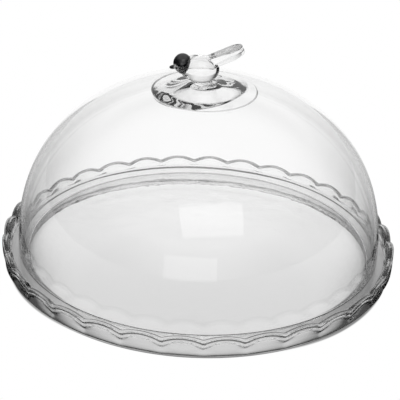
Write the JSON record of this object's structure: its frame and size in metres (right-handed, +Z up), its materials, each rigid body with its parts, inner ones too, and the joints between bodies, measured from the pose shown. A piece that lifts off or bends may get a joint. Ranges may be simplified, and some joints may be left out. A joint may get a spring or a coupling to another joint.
{
  "type": "cake stand dome",
  "caption": "Low round glass cake plate with a scalloped rim and a clear lift-off dome whose handle is a small glass bird.",
  "frame": {"origin": "centre of the plate's foot, on the table", "axes": "+Z up along the axis of the plate and dome, +X towards the bird's tail, -Y towards the side from which the bird's beak is on the left"},
  "size_m": [0.325, 0.325, 0.1905],
  "materials": {
    "plate_glass": "clear pressed soda-lime glass, fire polished",
    "dome_glass": "clear blown soda-lime glass, smooth",
    "bird_clear_glass": "clear solid pressed glass, fire polished",
    "bird_black_glass": "black glass, glossy, opaque"
  },
  "bodies": {
    "base": {"plate": "plate_glass"},
    "cover": {"dome_shell": "dome_glass", "bird_body": "bird_clear_glass", "bird_head": "bird_black_glass"}
  },
  "joints": [
    {"name": "cover_lift", "type": "slide", "parent": "base", "child": "cover", "axis": [0, 0, 1], "range_m": [0, 0.2]}
  ]
}
